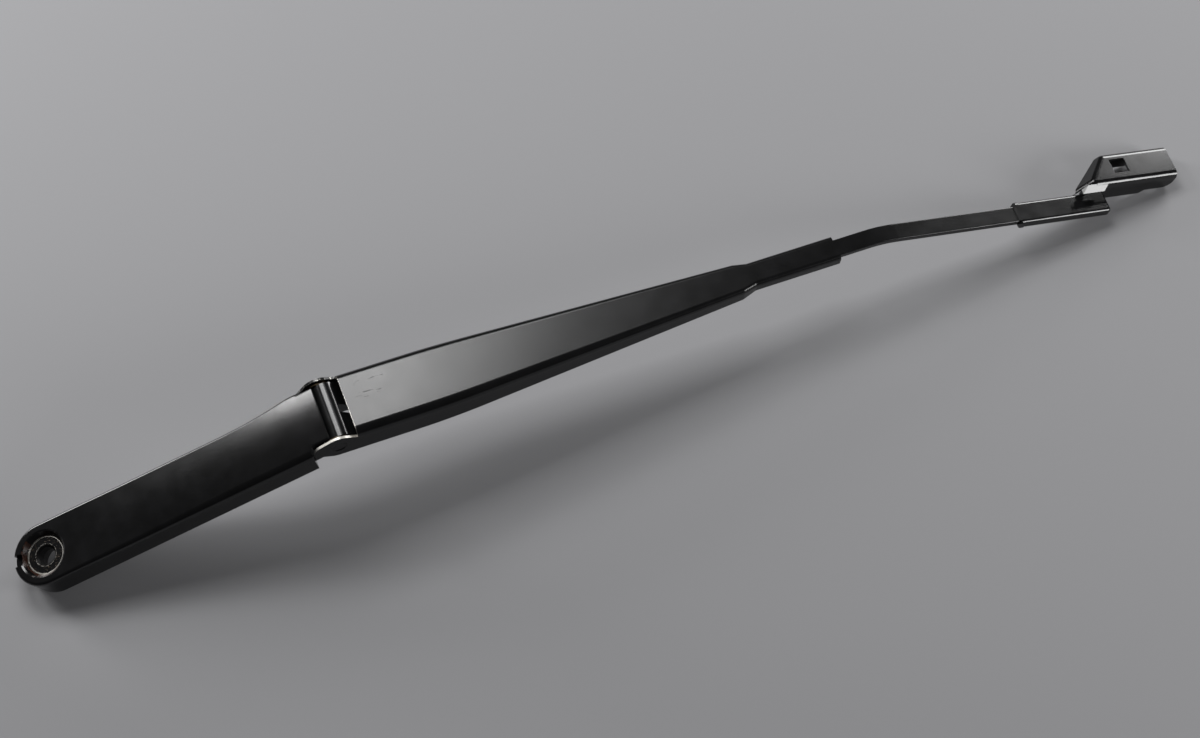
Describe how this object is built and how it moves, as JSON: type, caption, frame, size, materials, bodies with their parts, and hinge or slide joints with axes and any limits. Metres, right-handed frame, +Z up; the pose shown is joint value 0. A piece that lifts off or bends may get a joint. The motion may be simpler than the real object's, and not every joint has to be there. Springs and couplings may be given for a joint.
{
  "type": "wiper arm",
  "caption": "Windscreen wiper arm: a dished mounting head hinged to a tapering channel that hides a tension spring, then a bent flat rod with a hooded blade connector.",
  "frame": {"origin": "on the spindle axis at the small end of the taper, the foot of the spindle bore", "axes": "+X along the arm from the spindle to the blade connector, +Y along the hinge axis, +Z up from the surface it lies on; the spindle axis leans 16.35 degrees from +Z toward -X"},
  "size_m": [0.6062, 0.0346, 0.0597],
  "materials": {
    "head_paint": "satin black paint on a die casting",
    "channel_paint": "satin black paint on pressed steel, worn bright at cut edges",
    "rod_paint": "satin black paint on steel bar",
    "connector_paint": "satin black paint on pressed steel",
    "rivet_paint": "satin black paint",
    "pin_steel": "plain steel",
    "link_steel": "zinc-plated steel",
    "spring_steel": "oiled spring steel",
    "bush_bronze": "sintered bronze"
  },
  "bodies": {
    "head": {"mounting_head": "head_paint", "anchor_pin": "pin_steel", "hinge_bushes": "bush_bronze"},
    "arm": {"arm_channel": "channel_paint", "hinge_pin": "rivet_paint", "arm_rod": "rod_paint", "blade_connector": "connector_paint"},
    "link": {"spring_link": "link_steel"},
    "spring": {"tension_spring": "spring_steel"}
  },
  "joints": [
    {"name": "arm_hinge", "type": "hinge", "parent": "head", "child": "arm", "pos_m": [0.13998, 0, 0.04148], "axis": [0, -1, 0], "range_deg": [0, 40], "deforming": ["tension_spring"]},
    {"name": "link_swing", "type": "hinge", "parent": "head", "child": "link", "pos_m": [0.12271, 0, 0.03287], "axis": [0, -1, 0], "range_deg": [0, 34]},
    {"name": "spring_swing", "type": "hinge", "parent": "arm", "child": "spring", "pos_m": [0.23172, 0, 0.03451], "axis": [0, -1, 0], "range_deg": [-7, 0]}
  ],
  "couplings": [
    {"joint": "link_swing", "follows": "arm_hinge", "ratio": 0.8302},
    {"joint": "spring_swing", "follows": "arm_hinge", "ratio": -0.1698}
  ]
}
